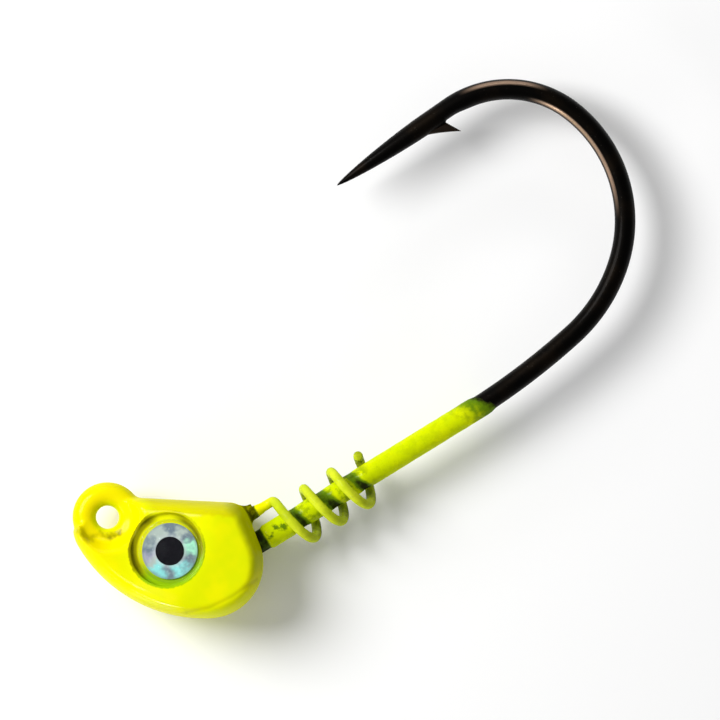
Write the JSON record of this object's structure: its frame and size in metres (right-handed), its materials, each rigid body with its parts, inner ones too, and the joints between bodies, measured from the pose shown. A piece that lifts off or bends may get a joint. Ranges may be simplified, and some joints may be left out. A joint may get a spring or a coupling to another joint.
{
  "type": "jig head",
  "caption": "Painted lead fish-head jig on a single barbed hook, with a wire coil keeper and domed holographic eyes.",
  "frame": {"origin": "centre of the line-tie hole, on the hook's plane", "axes": "the hook lies in the XY plane; +X runs along the shank from the head to the bend, +Y points from the shank to the hook point, and +Z is the hole's axis, out of the left cheek"},
  "size_m": [0.0557, 0.0273, 0.008],
  "materials": {
    "head_paint": "gloss",
    "shank_paint": "satin",
    "keeper_paint": "satin",
    "black_nickel": "gloss",
    "eye_adhesive": "matte",
    "eye_foil": "gloss",
    "eye_pupil": "gloss",
    "eye_lens": "gloss"
  },
  "bodies": {
    "root": {"head_casting": "head_paint", "hook": "black_nickel", "keeper_spring": "keeper_paint", "line_tie_coat": "head_paint", "shank_coat": "shank_paint", "left_eye_adhesive": "eye_adhesive", "left_eye_foil": "eye_foil", "left_eye_pupil": "eye_pupil", "left_eye_lens": "eye_lens", "right_eye_adhesive": "eye_adhesive", "right_eye_foil": "eye_foil", "right_eye_pupil": "eye_pupil", "right_eye_lens": "eye_lens"}
  },
  "joints": []
}
